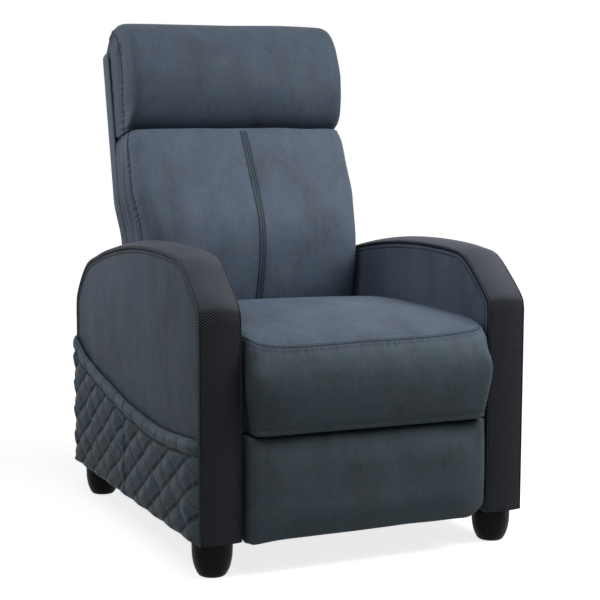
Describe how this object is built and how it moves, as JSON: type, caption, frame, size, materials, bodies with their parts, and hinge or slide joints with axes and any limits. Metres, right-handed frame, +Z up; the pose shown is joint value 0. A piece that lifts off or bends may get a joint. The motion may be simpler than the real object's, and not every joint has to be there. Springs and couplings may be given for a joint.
{
  "type": "recliner armchair",
  "caption": "Padded push-back recliner armchair: the back leans, the seat slides forward on swing links and a footrest folds out on a scissor linkage.",
  "frame": {"origin": "middle of the footprint at floor level, under the whole chair's box", "axes": "+Z up; the sitter faces -Y; +X is the sitter's left"},
  "size_m": [0.703, 0.8722, 1.0646],
  "materials": {
    "leather": "slate-blue synthetic leather over foam, satin",
    "quilted_leather": "slate-blue synthetic leather, quilted in lozenges, satin",
    "back_cover": "slate-blue synthetic leather cover, satin",
    "band_vinyl": "black embossed twill vinyl, semi-gloss",
    "mechanism_steel": "black coated pressed steel",
    "spring_wire": "bright drawn wire",
    "plywood": "raw plywood",
    "foot_plastic": "black moulded plastic, satin"
  },
  "bodies": {
    "base": {"left_arm_frame": "plywood", "right_arm_frame": "plywood", "left_arm_inner_panel": "leather", "right_arm_inner_panel": "leather", "left_arm_outer_panel": "leather", "right_arm_outer_panel": "leather", "left_arm_band": "band_vinyl", "right_arm_band": "band_vinyl", "left_side_pocket": "quilted_leather", "right_side_pocket": "quilted_leather", "left_front_foot": "foot_plastic", "right_front_foot": "foot_plastic", "left_rear_foot": "foot_plastic", "right_rear_foot": "foot_plastic", "left_base_plate": "mechanism_steel", "right_base_plate": "mechanism_steel", "base_front_rail": "plywood", "base_rear_rail": "plywood"},
    "front_swing": {"left_front_swing_link": "mechanism_steel", "right_front_swing_link": "mechanism_steel"},
    "rear_swing": {"left_rear_swing_link": "mechanism_steel", "right_rear_swing_link": "mechanism_steel"},
    "seat": {"left_seat_plate": "mechanism_steel", "right_seat_plate": "mechanism_steel", "left_seat_side_rail": "plywood", "right_seat_side_rail": "plywood", "seat_front_rail": "plywood", "seat_rear_rail": "plywood", "seat_spring_1": "spring_wire", "seat_spring_2": "spring_wire", "seat_spring_3": "spring_wire", "seat_spring_4": "spring_wire", "seat_spring_5": "spring_wire", "seat_cushion": "leather", "seat_front_border": "leather"},
    "drive": {"left_drive_link": "mechanism_steel", "right_drive_link": "mechanism_steel", "drive_bar": "mechanism_steel"},
    "idler": {"left_idler_link": "mechanism_steel", "right_idler_link": "mechanism_steel"},
    "scissor": {"left_scissor_link": "mechanism_steel", "right_scissor_link": "mechanism_steel"},
    "tie": {"left_tie_link": "mechanism_steel", "right_tie_link": "mechanism_steel"},
    "footrest": {"footrest_board": "plywood", "footrest_cushion": "leather", "left_footrest_bracket": "mechanism_steel", "right_footrest_bracket": "mechanism_steel"},
    "back": {"left_back_post": "plywood", "right_back_post": "plywood", "back_top_rail": "plywood", "back_bottom_rail": "plywood", "back_shell": "back_cover", "left_back_bracket": "mechanism_steel", "right_back_bracket": "mechanism_steel", "back_cushion": "leather", "headrest_cushion": "leather"},
    "push_rod": {"left_push_rod": "mechanism_steel", "right_push_rod": "mechanism_steel"}
  },
  "joints": [
    {"name": "front_swing_turn", "type": "hinge", "parent": "base", "child": "front_swing", "pos_m": [0, -0.1554, 0.21196], "axis": [1, 0, 0], "range_deg": [0, 58]},
    {"name": "seat_carry", "type": "hinge", "parent": "front_swing", "child": "seat", "pos_m": [0, -0.10614, 0.275], "axis": [-1, 0, 0], "range_deg": [0, 58]},
    {"name": "rear_swing_turn", "type": "hinge", "parent": "base", "child": "rear_swing", "pos_m": [0, 0.0646, 0.21196], "axis": [1, 0, 0], "range_deg": [0, 58]},
    {"name": "back_recline", "type": "hinge", "parent": "seat", "child": "back", "pos_m": [0, 0.18386, 0.3], "axis": [-1, 0, 0], "range_deg": [0, 42]},
    {"name": "drive_turn", "type": "hinge", "parent": "seat", "child": "drive", "pos_m": [0, -0.25214, 0.297], "axis": [-1, 0, 0], "range_deg": [0, 93]},
    {"name": "idler_turn", "type": "hinge", "parent": "seat", "child": "idler", "pos_m": [0, -0.21878, 0.27881], "axis": [-1, 0, 0], "range_deg": [0, 93]},
    {"name": "scissor_turn", "type": "hinge", "parent": "drive", "child": "scissor", "pos_m": [0, -0.17411, 0.13701], "axis": [1, 0, 0], "range_deg": [0, 93]},
    {"name": "tie_turn", "type": "hinge", "parent": "drive", "child": "tie", "pos_m": [0, -0.15745, 0.10286], "axis": [1, 0, 0], "range_deg": [0, 93]},
    {"name": "footrest_turn", "type": "hinge", "parent": "scissor", "child": "footrest", "pos_m": [0, -0.35015, 0.23299], "axis": [-1, 0, 0], "range_deg": [0, 93]},
    {"name": "rod_turn", "type": "hinge", "parent": "back", "child": "push_rod", "pos_m": [0, 0.17859, 0.20925], "axis": [1, 0, 0], "range_deg": [0, 43.52]}
  ],
  "couplings": [
    {"joint": "front_swing_turn", "follows": "back_recline", "ratio": 1.381},
    {"joint": "seat_carry", "follows": "back_recline", "ratio": 1.381},
    {"joint": "rear_swing_turn", "follows": "back_recline", "ratio": 1.381},
    {"joint": "drive_turn", "follows": "back_recline", "ratio": 2.2143},
    {"joint": "idler_turn", "follows": "back_recline", "ratio": 2.2143},
    {"joint": "scissor_turn", "follows": "back_recline", "ratio": 2.2143},
    {"joint": "tie_turn", "follows": "back_recline", "ratio": 2.2143},
    {"joint": "footrest_turn", "follows": "back_recline", "ratio": 2.2143},
    {"joint": "rod_turn", "follows": "back_recline", "ratio": 1.0362}
  ]
}
